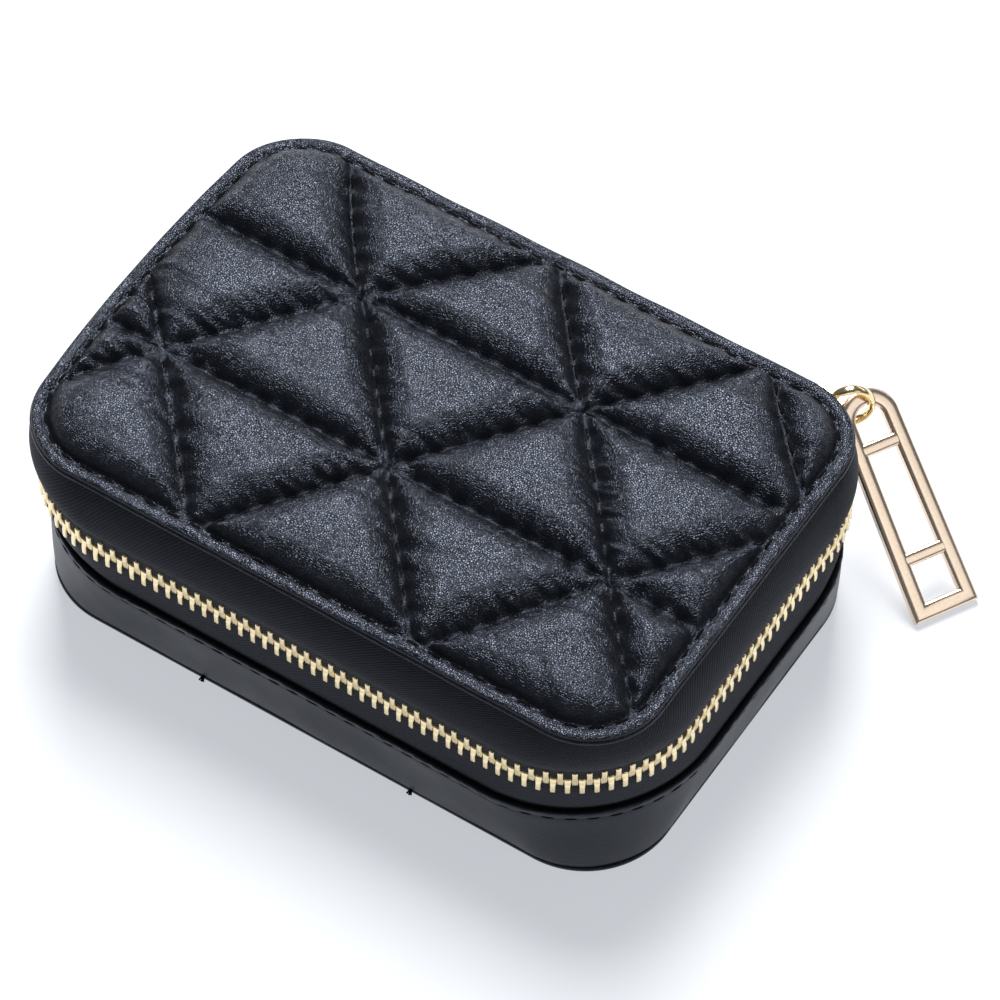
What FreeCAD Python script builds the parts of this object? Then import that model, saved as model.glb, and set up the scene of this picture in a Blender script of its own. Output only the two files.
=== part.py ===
"""Leather jewellery case: a zipped travel case with a padded, quilted lid and a lined tray.

Millimetres. +Z is up, +X runs along the long side and -Y is the front. The origin is the middle of
the underside. The lid turns about a leather fold along the back, and the zip runs round the other
three sides, from a stop at the back left to the slider at the back right corner.
"""
import FreeCAD, Part
import math
import os

Vec = FreeCAD.Vector
os.makedirs("parts", exist_ok=True)

# ---- driving outlines: (half length, half width, corner radius), seen from above ----
TRAY_FOOT = (57.4, 39.1, 15.0)
TRAY_RIM = (60.9, 42.45, 26.2)
CHAIN = (59.9, 42.1, 22.2)
LID_EDGE = (57.8, 40.1, 13.1)

# ---- heights above the surface the case stands on ----
SKIN = 1.0                  # leather thickness
TAPE_FOOT = 12.5            # the lower tape is glued behind the band from here up
BAND_TOP = 16.5             # turned top edge of the tray's leather band
WALL_TOP = 20.3             # lined board wall inside the tray
CHAIN_Z = 25.9              # middle of the zip chain
LID_UNDER = 37.4            # underside of the lid panel
LIP_TOP = 38.9              # top of the turned edge round the lid
QUILT_TOP = 41.8            # crown of the padded quilting

# ---- walls ----
BAND_T = 1.1
FOOT_OUT = (0.3, 0.5)       # bottom leather past the foot outline, at its lower and upper edge
RIM_OUT = 0.6               # turned top edge, standing out from the band
RIM_DROP = 1.6              # height of the turned edge
RIM_LAP = 0.02              # the turned edge and the band meet here
RIM_RISE = 0.1
TAPE_T = 0.5
TAPE_INSET = 1.25           # tape behind the band
BOARD_INSET = 1.9           # board wall behind the tape
BOARD_T = 1.8
LINING_T = 0.7
FLOOR_LINING_T = 0.6

# ---- lid fold ----
FOLD_Y = CHAIN[1]
FOLD_Z = 26.0
FOLD_HALF = 33.5            # half length of the leather fold
FOLD_BEAD = 1.0             # radius of the rolled bead that the lid turns on
FOLD_GAP = 0.3
FOLD_T = 1.4                # leather and lining together
FOLD_RISE = 3.0             # upright part of the upper panel, above the bead
FOLD_TOP_INSET = 1.1        # where the upper panel meets the lid, in from its edge

# ---- zip ----
TOOTH_W = 0.95              # along the chain
TOOTH_PITCH = 2.3
TOOTH_DEPTH = 2.0           # across the tape
TOOTH_REACH = 0.5           # past the middle of the chain
TOOTH_ROOT = 2.65           # from the middle of the chain to the root
TAPE_EDGE = 1.9             # from the middle of the chain to the tape's beaded edge
TAPE_BITE = 2.4             # height of upright tape beside the teeth
SLOT = 0.32                 # half width of the slot in a tooth
STOP_S = 1.5                # from the end of the chain to the top stops
STOP_W = 1.4
STOP_FROM = 1.3             # the top stops' lower edge, from the middle of the chain
STOP_TO = 4.2
TEETH_AFTER_STOP = 1.5
TEETH_BEFORE_END = 2.6
BOTTOM_STOP = (1.6, 2.2, 2.5)
BOTTOM_STOP_IN = 1.9        # from the end of the chain at the back left
BOTTOM_STOP_DROP = 1.5      # its underside, below the middle of the chain
END_RUN = 3.0               # chain that goes on past each back corner
PART_FROM = 1.5             # the rows begin to part this far past the slider's middle
PART_OVER = 4.5             # and are fully parted after this much more
ROW_OPEN = 1.2              # how far each row stands off where the rows have parted

# ---- slider ----
SLIDER_ANGLE = 77.0         # round the back right corner, from the right side towards the back
SLIDER_LEN = 11.0
SLIDER_NOSE = 9.8           # width across the chain where the two rows come in
SLIDER_TAIL = 8.2
PLATE_T = 1.2
CHANNEL_OUT = 1.4           # from the chain's middle surface to the outer plate
CHANNEL_IN = 2.0            # to the inner plate: more, because the chain curves inward
FLANGE = 0.8
CHANNEL_TAIL = 3.65         # half width of the channel where the rows run out together
CHANNEL_NOSE = 4.15         # half width where they come in
CHANNEL_BEND = (0.3, 3.2)   # the channel widens between these places
PLATE_CHAMFER = 0.8
WEDGE = (2.0, 3.4, 4.7)     # tail, widest place and tip of the post that parts the rows
WEDGE_HALF = 0.6
CROWN_RISE = 4.2            # from the outer plate to the top of the crown
CROWN_SPAN = 7.0
CROWN_BAR = 1.4
CROWN_W = 2.2
CROWN_BEVEL = (0.9, 2.0, 0.7)
PIN_R = 0.35
PIN_LONG = 1.5

# ---- pull ----
PULL_LONG = 38.5            # from the top of the arch to the bottom edge
PULL_WIDE = 10.5
PULL_BAR = 1.7
PULL_FOOT = (72.7, 37.8)    # middle of the bottom bar, which rests on the table
PULL_YAW = 30.1             # the pull leans out along +X, turned this far towards the front
PULL_LEAN = 41.2            # from the table
BAR_PLACES = (0.265, 0.735)
RING_R = 3.65
RING_WIRE = 0.55
RING_IN_CROWN = (-0.67, 0.39, 4.43)     # where the link crosses the crown, in the slider's frame
RING_AZIMUTH = 39.0
RING_DROP = 7.0

# ---- inside ----
FLOOR_Z = 3.6
ROLL_COUNT = 5
ROLL_PITCH = 11.6
ROLL_W = 11.2
ROLL_H = 12.5
ROLL_X = (4.0, 47.0)
DIVIDER_T = 1.6
DIVIDER_TOP = 17.5
DIVIDER_CLEAR = 0.4         # from the dividers' ends to the lining
DIVIDER_GAP = 0.3           # between dividers that meet
LOOSE_RISE = 0.1            # the loose dividers stand this far off the floor lining
SHORT_X = -27.0

# ---- lid ----
LIP_W = 2.3                 # flat turned edge
COVER_LOW = LID_UNDER + 2.2     # underside of the quilted leather at its border
PAD_TOP = QUILT_TOP - 1.1
CROWN_STEPS = ((2.5, 0.6), (7.0, 0.0))      # (in from the lip, below the crown) of the padding
PAD_INSET = 1.2
PAD_TOP_INSET = 4.0
LID_BOARD_INSET = 2.8
LID_BOARD_LOW = LID_UNDER - 1.0
LID_LINING_INSET = 3.6
LID_LINING_LOW = LID_BOARD_LOW - 0.5
LID_GLUE = 0.05             # the tape and the fold end this far below the lid panel
UPPER_TAPE_INSET = 0.9      # from the lid's edge to the top of the upper tape
POCKET_X = 42.0
POCKET_Y = (-27.0, 8.0)
POCKET_T = 0.9
ELASTIC_W = 4.0
ELASTIC_T = 1.5


def grown(outline, offset):
    """The same rounded outline, moved outward by offset (inward when negative)."""
    half_x, half_y, radius = outline
    return (half_x + offset, half_y + offset, max(radius + offset, 0.6))


def between(low, high, share):
    """The outline part of the way from low to high."""
    return tuple(a + (b - a) * share for a, b in zip(low, high))


def outline_wire(outline, z):
    """A closed wire of four straight sides and four corner arcs."""
    half_x, half_y, radius = outline
    cx = half_x - radius
    cy = half_y - radius
    edges = []
    for turn in range(4):
        start = math.radians(90 * turn)
        sign_x, sign_y = ((1, 1), (-1, 1), (-1, -1), (1, -1))[turn]
        centre = Vec(sign_x * cx, sign_y * cy, z)
        points = [
            centre + Vec(radius * math.cos(start + a), radius * math.sin(start + a), 0)
            for a in (0, math.pi / 4, math.pi / 2)
        ]
        edges.append(Part.Arc(*points).toShape())
        next_x, next_y = ((-1, 1), (-1, -1), (1, -1), (1, 1))[turn]
        side_end = Vec(next_x * cx, next_y * cy, z) + (points[2] - centre)
        edges.append(Part.LineSegment(points[2], side_end).toShape())
    return Part.Wire(edges)


def loft(sections):
    """A solid through (outline, z) sections, with straight walls between them."""
    return Part.makeLoft([outline_wire(o, z) for o, z in sections], True, True)


def shell(sections, thickness):
    """A wall of the given thickness inside the sections, open at the top and the bottom."""
    inner = [(grown(o, -thickness), z) for o, z in sections]
    return loft(sections).cut(loft(inner))


def box(low, high):
    size = [b - a for a, b in zip(low, high)]
    return Part.makeBox(*size, Vec(*low))


def tray_outline(z):
    """The outer face of the tray's leather band at height z."""
    return between(TRAY_FOOT, TRAY_RIM, z / BAND_TOP)


def behind(offset, z):
    """A section of the tray wall, offset inward from the band's outer face."""
    return (grown(tray_outline(z), -offset), z)


def export(name, shape):
    if shape.ShapeType != "Solid" and len(shape.Solids) == 1:
        shape = shape.Solids[0]
    if not shape.isValid():
        print("not valid:", name)
    shape.exportStep("parts/" + name + ".step")
    print(name, len(shape.Solids), round(shape.Volume, 1))
    return shape


# ---------------------------------------------------------------- chain path

ARC_X = CHAIN[0] - CHAIN[2]
ARC_Y = CHAIN[1] - CHAIN[2]
QUARTER = math.pi / 2 * CHAIN[2]
SIDE = 2 * ARC_Y
FRONT = 2 * ARC_X
CORNER_END = END_RUN + QUARTER
PATH_LENGTH = 2 * CORNER_END + 2 * QUARTER + 2 * SIDE + FRONT


def chain_point(s):
    """(point, unit tangent, unit outward normal) at distance s along the chain.

    s starts at the end of the chain at the back right, and runs round the right side, the front
    and the left side to the back left.
    """
    runs = (
        ("line", (ARC_X - END_RUN, CHAIN[1]), (1, 0), END_RUN),
        ("arc", 90, ARC_X, ARC_Y), ("line", (CHAIN[0], ARC_Y), (0, -1), SIDE),
        ("arc", 0, ARC_X, -ARC_Y), ("line", (ARC_X, -CHAIN[1]), (-1, 0), FRONT),
        ("arc", -90, -ARC_X, -ARC_Y), ("line", (-CHAIN[0], -ARC_Y), (0, 1), SIDE),
        ("arc", 180, -ARC_X, ARC_Y), ("line", (-ARC_X, CHAIN[1]), (1, 0), END_RUN),
    )
    for run in runs:
        if run[0] == "arc":
            if s <= QUARTER:
                angle = math.radians(run[1]) - s / CHAIN[2]
                normal = Vec(math.cos(angle), math.sin(angle), 0)
                point = Vec(run[2], run[3], CHAIN_Z) + normal * CHAIN[2]
                return point, Vec(normal.y, -normal.x, 0), normal
            s -= QUARTER
        else:
            if s <= run[3] or run is runs[-1]:
                tangent = Vec(run[2][0], run[2][1], 0)
                point = Vec(run[1][0], run[1][1], CHAIN_Z) + tangent * s
                return point, tangent, Vec(-tangent.y, tangent.x, 0)
            s -= run[3]


SLIDER_S = END_RUN + math.radians(90 - SLIDER_ANGLE) * CHAIN[2]


def row_shift(s):
    """How far each row stands off the middle of the chain: the rows part inside the slider."""
    share = (SLIDER_S + PART_FROM - s) / PART_OVER
    share = min(max(share, 0.0), 1.0)
    return ROW_OPEN * share * share * (3 - 2 * share)


def clamp(s, up, width, low, high):
    """A block of metal that grips the edge of the tape in a slot; heights are from the chain's middle."""
    point, tangent, normal = chain_point(s)
    half = TOOTH_DEPTH / 2
    grip = TAPE_EDGE - 0.05
    profile = (
        (-half, low), (half, low), (half, high), (SLOT, high),
        (SLOT, grip), (-SLOT, grip), (-SLOT, high), (-half, high),
    )
    start = point - tangent * (width / 2)
    corners = [start + normal * a + Vec(0, 0, up * b) for a, b in profile]
    face = Part.Face(Part.makePolygon(corners + corners[:1]))
    return face.extrude(tangent * width)


def tooth(s, up):
    lift = row_shift(s)
    return clamp(s, up, TOOTH_W, lift - TOOTH_REACH, lift + TOOTH_ROOT)


def teeth(up, first, last):
    """The teeth of one row between two distances; the lower row is half a pitch behind."""
    solids = []
    s = TOOTH_PITCH / 2 * (1.0 if up > 0 else 2.0)
    while s < PATH_LENGTH - 1.0:
        if first <= s < last:
            solids.append(tooth(s, up))
        s += TOOTH_PITCH
    return Part.makeCompound(solids)


# ---------------------------------------------------------------- tray

def make_tray():
    low_out, high_out = FOOT_OUT
    under = FLOOR_Z - FLOOR_LINING_T
    bottom = [(grown(TRAY_FOOT, low_out), 0.0), (grown(TRAY_FOOT, high_out), SKIN)]
    export("base_bottom_leather", loft(bottom))
    export("base_bottom_board", loft([behind(BOARD_INSET, SKIN), behind(BOARD_INSET, under)]))
    band = [behind(0, SKIN), behind(0, BAND_TOP)]
    export("base_leather_band", shell(band, BAND_T))
    rim = (BAND_TOP - RIM_DROP, BAND_TOP + RIM_RISE)
    stand_out = loft([(grown(tray_outline(z), RIM_OUT), z) for z in rim])
    export("base_rim_welt", stand_out.cut(loft([behind(-RIM_LAP, z) for z in rim])))

    wall = [behind(BOARD_INSET, under), behind(BOARD_INSET, BAND_TOP)]
    wall.append((grown(tray_outline(BAND_TOP), -BOARD_INSET), WALL_TOP))
    export("base_wall_board", shell(wall, BOARD_T))
    inset = BOARD_INSET + BOARD_T
    lining = [behind(inset, FLOOR_Z), behind(inset, BAND_TOP)]
    lining.append((grown(tray_outline(BAND_TOP), -inset), WALL_TOP))
    export("base_wall_lining", shell(lining, LINING_T))
    export("base_floor_lining", loft([behind(inset, under), behind(inset, FLOOR_Z)]))


def make_inside():
    middle = (ROLL_COUNT - 1) / 2
    for number in range(ROLL_COUNT):
        y = (number - middle) * ROLL_PITCH
        half = ROLL_W / 2
        points = [
            Vec(ROLL_X[0], y - half, FLOOR_Z), Vec(ROLL_X[0], y - half, FLOOR_Z + ROLL_H - half),
            Vec(ROLL_X[0], y, FLOOR_Z + ROLL_H), Vec(ROLL_X[0], y + half, FLOOR_Z + ROLL_H - half),
            Vec(ROLL_X[0], y + half, FLOOR_Z),
        ]
        section = Part.Wire([
            Part.makeLine(points[0], points[1]), Part.Arc(*points[1:4]).toShape(),
            Part.makeLine(points[3], points[4]), Part.makeLine(points[4], points[0]),
        ])
        roll = Part.Face(section).extrude(Vec(ROLL_X[1] - ROLL_X[0], 0, 0))
        export("ring_roll_%d" % (number + 1), roll)

    inner = grown(tray_outline(FLOOR_Z), -(BOARD_INSET + BOARD_T + LINING_T + DIVIDER_CLEAR))
    long_divider = box((0, -inner[1], FLOOR_Z), (DIVIDER_T, inner[1], DIVIDER_TOP))
    export("divider_long", long_divider)
    half = DIVIDER_T / 2
    low = FLOOR_Z + LOOSE_RISE
    export("divider_cross", box((-inner[0], -half, low), (-DIVIDER_GAP, half, DIVIDER_TOP)))
    short = box(
        (SHORT_X - half, -inner[1] + DIVIDER_CLEAR / 2, low),
        (SHORT_X + half, -half - DIVIDER_GAP, DIVIDER_TOP),
    )
    export("divider_short", short)


# ---------------------------------------------------------------- zip tapes, teeth and stops

BACK_GAP = box((-ARC_X + END_RUN, 25.0, 0.0), (ARC_X - END_RUN, 60.0, 60.0))
RIGHT_CORNER = box((20.0, ARC_Y, 0.0), (90.0, 60.0, 60.0))


def make_zip():
    half_tape = TAPE_T / 2
    chain_face = grown(CHAIN, half_tape)
    low_edge = CHAIN_Z - TAPE_EDGE
    lower = [
        behind(TAPE_INSET, TAPE_FOOT), behind(TAPE_INSET, BAND_TOP),
        (chain_face, low_edge - TAPE_BITE), (chain_face, low_edge),
    ]
    export("zip_tape_lower", shell(lower, TAPE_T).cut(BACK_GAP))

    high_edge = CHAIN_Z + TAPE_EDGE
    upper = [
        (chain_face, high_edge), (chain_face, high_edge + TAPE_BITE),
        (grown(LID_EDGE, -UPPER_TAPE_INSET), LID_UNDER - LID_GLUE),
    ]
    upper_ring = shell(upper, TAPE_T).cut(BACK_GAP)
    export("zip_tape_upper", upper_ring.cut(RIGHT_CORNER))
    export("zip_tape_upper_corner", upper_ring.common(RIGHT_CORNER))

    for name, up in (("upper", 1), ("lower", -1)):
        export("zip_teeth_%s_corner" % name, teeth(up, STOP_S + TEETH_AFTER_STOP, CORNER_END))
        export("zip_teeth_" + name, teeth(up, CORNER_END, PATH_LENGTH - TEETH_BEFORE_END))
        export("zip_top_stop_" + name, clamp(STOP_S, up, STOP_W, STOP_FROM, STOP_TO))
    length, depth, height = BOTTOM_STOP
    low = (-ARC_X + END_RUN - BOTTOM_STOP_IN, FOLD_Y - depth / 2, CHAIN_Z - BOTTOM_STOP_DROP)
    export("zip_bottom_stop", box(low, (low[0] + length, low[1] + depth, low[2] + height)))


def make_fold():
    """The leather fold at the back: two panels, with a rolled bead between them to turn on."""
    half = FOLD_T / 2
    low_panel = box((-FOLD_HALF, FOLD_Y - half, BAND_TOP + 0.3), (FOLD_HALF, FOLD_Y + half, FOLD_Z))
    bead = Part.makeCylinder(FOLD_BEAD, 2 * FOLD_HALF, Vec(-FOLD_HALF, FOLD_Y, FOLD_Z), Vec(1, 0, 0))
    export("spine_lower", low_panel.fuse(bead).removeSplitter())

    top_y = LID_EDGE[1] - FOLD_TOP_INSET
    top_z = LID_UNDER - LID_GLUE
    knee = FOLD_Z + FOLD_RISE
    profile = [
        (FOLD_Y - half, FOLD_Z + 0.2), (FOLD_Y + half, FOLD_Z + 0.2),
        (FOLD_Y + half, knee), (top_y + half, top_z), (top_y - half, top_z), (FOLD_Y - half, knee),
    ]
    corners = [Vec(-FOLD_HALF, y, z) for y, z in profile]
    panel = Part.Face(Part.makePolygon(corners + corners[:1])).extrude(Vec(2 * FOLD_HALF, 0, 0))
    hollow = Part.makeCylinder(
        FOLD_BEAD + FOLD_GAP, 2 * FOLD_HALF + 2, Vec(-FOLD_HALF - 1, FOLD_Y, FOLD_Z), Vec(1, 0, 0)
    )
    export("spine_upper", panel.cut(hollow))


# ---------------------------------------------------------------- lid

def make_lid():
    export("lid_edge_welt", shell([(LID_EDGE, LID_UNDER), (LID_EDGE, LIP_TOP)], LIP_W))
    field = grown(LID_EDGE, -LIP_W)
    crown = [(grown(field, -inset), QUILT_TOP - drop) for inset, drop in CROWN_STEPS]
    outside = loft([(field, LID_UNDER), (field, LIP_TOP)] + crown)
    pad = grown(field, -PAD_INSET)
    foam = loft([(pad, LID_UNDER), (pad, COVER_LOW), (grown(field, -PAD_TOP_INSET), PAD_TOP)])
    export("lid_quilted_cover", outside.cut(foam))
    export("lid_foam_pad", foam)
    board = grown(LID_EDGE, -LID_BOARD_INSET)
    export("lid_board", loft([(board, LID_BOARD_LOW), (board, LID_UNDER)]))
    lining = grown(LID_EDGE, -LID_LINING_INSET)
    top = LID_LINING_LOW
    export("lid_lining", loft([(lining, top), (lining, LID_BOARD_LOW)]))
    front, back = POCKET_Y
    export("lid_pocket_panel", box((-POCKET_X, front, top - POCKET_T), (POCKET_X, back, top)))
    elastic = box((-POCKET_X, back, top - ELASTIC_T), (POCKET_X, back + ELASTIC_W, top))
    export("lid_pocket_elastic", elastic)


# ---------------------------------------------------------------- slider, link and pull

def slider_place():
    """The slider's own frame: x towards the open end, y up, z outward from the chain."""
    point, tangent, normal = chain_point(SLIDER_S)
    matrix = FreeCAD.Matrix(
        -tangent.x, 0, normal.x, point.x,
        -tangent.y, 0, normal.y, point.y,
        -tangent.z, 1, normal.z, point.z,
        0, 0, 0, 1,
    )
    return FreeCAD.Placement(matrix)


def slider_plate(low, high):
    """A shield-shaped plate: round-shouldered at the nose, narrower at the tail."""
    half = SLIDER_LEN / 2
    nose = SLIDER_NOSE / 2
    tail = SLIDER_TAIL / 2
    cut = PLATE_CHAMFER
    points = [
        Vec(-half, -tail + cut, low), Vec(-half, tail - cut, low), Vec(-half + cut, tail, low),
        Vec(0.5, tail + 0.2, low), Vec(half - 2.4, nose, low), Vec(half - 0.8, nose - 0.5, low),
        Vec(half, nose - 1.8, low), Vec(half - 0.7, 0, low), Vec(half, -nose + 1.8, low),
        Vec(half - 0.8, -nose + 0.5, low), Vec(half - 2.4, -nose, low), Vec(0.5, -tail - 0.2, low),
        Vec(-half + cut, -tail, low),
    ]
    return Part.Face(Part.makePolygon(points + points[:1])).extrude(Vec(0, 0, high - low))


def make_slider(place):
    outer_low = CHANNEL_OUT
    outer_high = CHANNEL_OUT + PLATE_T
    inner_high = -CHANNEL_IN
    inner_low = -CHANNEL_IN - PLATE_T
    body = slider_plate(outer_low, outer_high).fuse(slider_plate(inner_low, inner_high))
    flanges = slider_plate(-CHANNEL_IN, CHANNEL_OUT)
    bend_from, bend_to = CHANNEL_BEND
    half_outline = [
        (-SLIDER_LEN, CHANNEL_TAIL), (bend_from, CHANNEL_TAIL), (bend_to, CHANNEL_NOSE),
        (SLIDER_LEN, CHANNEL_NOSE),
    ]
    inside = [Vec(x, -y, inner_high) for x, y in half_outline]
    inside += [Vec(x, y, inner_high) for x, y in reversed(half_outline)]
    channel = Part.Face(Part.makePolygon(inside + inside[:1])).extrude(
        Vec(0, 0, outer_low - inner_high)
    )
    flanges = flanges.cut(channel)
    tape_slot = box((-10, -10, inner_high + FLANGE - 0.2), (10, 10, outer_low - FLANGE + 0.1))
    flanges = flanges.cut(tape_slot)
    tail, middle, tip = WEDGE
    wedge_points = [
        Vec(tail, 0, inner_low), Vec(middle, -WEDGE_HALF, inner_low), Vec(tip, 0, inner_low),
        Vec(middle, WEDGE_HALF, inner_low),
    ]
    wedge = Part.Face(Part.makePolygon(wedge_points + wedge_points[:1])).extrude(
        Vec(0, 0, outer_high - inner_low)
    )
    body = body.fuse(flanges).fuse(wedge).removeSplitter()
    body.Placement = place
    export("slider_body", body)

    half = CROWN_SPAN / 2
    foot = outer_high
    top = foot + CROWN_RISE
    side = -CROWN_W / 2
    low_bevel, high_bevel, drop = CROWN_BEVEL
    outer = [(half, foot), (half - low_bevel, top - drop), (half - high_bevel, top)]
    hollow = half - CROWN_BAR
    inner = [(hollow - 0.5, top - CROWN_BAR), (hollow, foot)]
    arch = [Vec(-x, side, z) for x, z in outer] + [Vec(x, side, z) for x, z in reversed(outer)]
    arch += [Vec(x, side, z) for x, z in reversed(inner)] + [Vec(-x, side, z) for x, z in inner]
    crown = Part.Face(Part.makePolygon(arch + arch[:1])).extrude(Vec(0, CROWN_W, 0))
    crown.Placement = place
    export("slider_crown", crown)
    pin_x = -half + CROWN_BAR + 0.75
    pin = Part.makeCylinder(PIN_R, PIN_LONG, Vec(pin_x, 0, foot), Vec(0, 0, 1))
    pin.Placement = place
    export("slider_lock_pin", pin)


def make_pull(place):
    """The link through the crown, and the long frame that leans from it to the table."""
    azimuth = math.radians(RING_AZIMUTH)
    drop = math.radians(RING_DROP)
    reach = Vec(
        math.cos(azimuth) * math.cos(drop), math.sin(azimuth) * math.cos(drop), -math.sin(drop)
    )
    ring_axis = Vec(math.sin(azimuth), -math.cos(azimuth), 0)
    ring_middle = place.multVec(Vec(*RING_IN_CROWN)) + reach * RING_R
    export("link_ring", Part.makeTorus(RING_R, RING_WIRE, ring_middle, ring_axis))

    yaw = math.radians(-PULL_YAW)
    lean = math.radians(PULL_LEAN)
    across = Vec(-math.sin(yaw), math.cos(yaw), 0)
    up = Vec(-math.cos(yaw) * math.cos(lean), -math.sin(yaw) * math.cos(lean), math.sin(lean))
    bar_r = PULL_BAR / 2
    arch_r = PULL_WIDE / 2 - bar_r
    foot = Vec(PULL_FOOT[0], PULL_FOOT[1], bar_r + 0.1)
    length_down = PULL_LONG - arch_r - 2 * bar_r
    arch_centre = foot + up * length_down

    def at(side, down):
        return arch_centre + across * side - up * down

    points = [at(-arch_r, 0), at(0, -arch_r), at(arch_r, 0)]
    arch = Part.Arc(*points).toShape()
    spine = Part.Wire([arch])
    circle = Part.Wire([Part.makeCircle(bar_r, points[0], up)])
    frame = spine.makePipeShell([circle], True, True)
    solids = [frame]
    for side in (-1, 1):
        solids.append(Part.makeCylinder(bar_r, length_down, at(side * arch_r, 0), up * -1))
    top = -arch_r - bar_r
    places = [length_down] + [top + share * PULL_LONG for share in BAR_PLACES]
    for down in places:
        solids.append(Part.makeCylinder(bar_r, 2 * arch_r, at(-arch_r, down), across))
    for side in (-1, 1):
        solids.append(Part.makeSphere(bar_r, at(side * arch_r, length_down)))
    whole = solids[0].multiFuse(solids[1:]).removeSplitter()
    export("pull_frame", whole)


make_tray()
make_inside()
make_zip()
make_fold()
make_lid()
SLIDER_PLACE = slider_place()
make_slider(SLIDER_PLACE)
make_pull(SLIDER_PLACE)
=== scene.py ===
"""The looks of the leather jewellery case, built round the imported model. Every length is in metres."""
import math

import bmesh
import bpy
import numpy as np
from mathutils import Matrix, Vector


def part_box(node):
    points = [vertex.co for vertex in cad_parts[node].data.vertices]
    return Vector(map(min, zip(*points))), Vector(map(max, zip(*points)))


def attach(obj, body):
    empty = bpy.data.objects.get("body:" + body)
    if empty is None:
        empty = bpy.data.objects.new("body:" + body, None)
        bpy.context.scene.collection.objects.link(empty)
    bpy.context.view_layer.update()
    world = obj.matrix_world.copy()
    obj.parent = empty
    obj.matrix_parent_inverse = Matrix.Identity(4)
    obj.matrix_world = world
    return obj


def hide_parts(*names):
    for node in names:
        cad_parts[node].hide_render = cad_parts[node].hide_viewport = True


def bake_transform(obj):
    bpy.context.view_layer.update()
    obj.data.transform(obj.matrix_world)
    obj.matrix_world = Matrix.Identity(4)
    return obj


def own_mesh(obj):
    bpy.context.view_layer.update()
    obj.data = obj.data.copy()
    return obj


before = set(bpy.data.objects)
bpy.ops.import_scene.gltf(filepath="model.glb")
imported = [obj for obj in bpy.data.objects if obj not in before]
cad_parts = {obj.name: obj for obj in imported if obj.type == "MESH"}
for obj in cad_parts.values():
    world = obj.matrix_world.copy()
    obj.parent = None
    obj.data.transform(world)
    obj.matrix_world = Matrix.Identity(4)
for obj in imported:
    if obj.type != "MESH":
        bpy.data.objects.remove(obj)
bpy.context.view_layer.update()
MM = 0.001
RANDOM = np.random.default_rng(7)


# -------- sizes, from the frame

def half_size(node):
    low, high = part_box(node)
    return (high.x - low.x) / 2, (high.y - low.y) / 2


LID_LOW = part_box("lid_edge_welt")[0].z
LIP_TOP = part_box("lid_edge_welt")[1].z
PUFF_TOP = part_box("lid_quilted_cover")[1].z
LID = (*half_size("lid_edge_welt"), 13.1 * MM)
BAND_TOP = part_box("base_rim_welt")[1].z
RIM = (*half_size("base_rim_welt"), 26.8 * MM)
FOOT = (*half_size("base_bottom_leather"), 15.4 * MM)
TAPE_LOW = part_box("zip_tape_lower")[1].z
TAPE_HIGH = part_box("zip_tape_upper")[0].z
CHAIN_Z = (TAPE_LOW + TAPE_HIGH) / 2
TEETH = half_size("zip_teeth_lower")
CHAIN = (TEETH[0] - 1.0 * MM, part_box("spine_lower")[1].y - 1.0 * MM, 22.2 * MM)
FOLD = Vector((0, CHAIN[1], 26.0 * MM))
WALL_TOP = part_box("base_wall_board")[1].z
FLOOR_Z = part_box("base_floor_lining")[1].z
LEFT_BOW = 2.5 * MM


# -------- rounded outlines as rings of points

ARC = 48            # points round one corner
LONG = 210          # points along a long side
SHORT = 125         # points along a short side
NEARLY_NONE = 1e-6  # half width of an outline drawn in to a line
WELD = 0.02 * MM    # points nearer than this are merged
COUNT = 4 * ARC + 2 * LONG + 2 * SHORT


def ring(outline):
    """(points, outward normals), counter-clockwise from the back right corner, seen from above."""
    half_x, half_y, radius = outline
    points = []
    normals = []
    corners = ((1, 1), (-1, 1), (-1, -1), (1, -1))
    for turn, (sign_x, sign_y) in enumerate(corners):
        centre = np.array([sign_x * (half_x - radius), sign_y * (half_y - radius)])
        angles = math.pi / 2 * (turn + np.arange(ARC) / ARC)
        around = np.stack([np.cos(angles), np.sin(angles)], 1)
        points.append(centre + radius * around)
        normals.append(around)
        next_x, next_y = corners[(turn + 1) % 4]
        ahead = math.pi / 2 * (turn + 1)
        facing = np.array([math.cos(ahead), math.sin(ahead)])
        start = centre + radius * facing
        end = np.array([next_x * (half_x - radius), next_y * (half_y - radius)]) + radius * facing
        steps = LONG if turn % 2 == 0 else SHORT
        share = (np.arange(steps) / steps)[:, None]
        points.append(start + (end - start) * share)
        normals.append(np.repeat(facing[None], steps, 0))
    return np.concatenate(points), np.concatenate(normals)


def grown(outline, offset):
    half_x, half_y, radius = outline
    return half_x + offset, half_y + offset, max(radius + offset, 0.4 * MM)


def between(low, high, share):
    return tuple(a + (b - a) * share for a, b in zip(low, high))


def run_length(points):
    """Distance along a closed ring at each point."""
    steps = np.linalg.norm(np.roll(points, -1, 0) - points, axis=1)
    return np.concatenate([[0.0], np.cumsum(steps)[:-1]])


def level(outline, z):
    points, _ = ring(outline)
    return np.column_stack([points, np.full(len(points), z)])


def lofted(name, sections):
    """A mesh through (outline, z) sections, of which the last may be shrunk to a line."""
    return cleaned(sheet_mesh(name, [level(outline, z) for outline, z in sections]), WELD)


def shrunk(outline, inset):
    """The outline drawn in towards its middle line, its corners tighter the further it is drawn."""
    half_x, half_y, radius = outline
    inset = min(inset, half_y - NEARLY_NONE)
    return half_x - inset, half_y - inset, max(radius * (1 - inset / half_y), NEARLY_NONE)


# -------- mesh helpers

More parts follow.
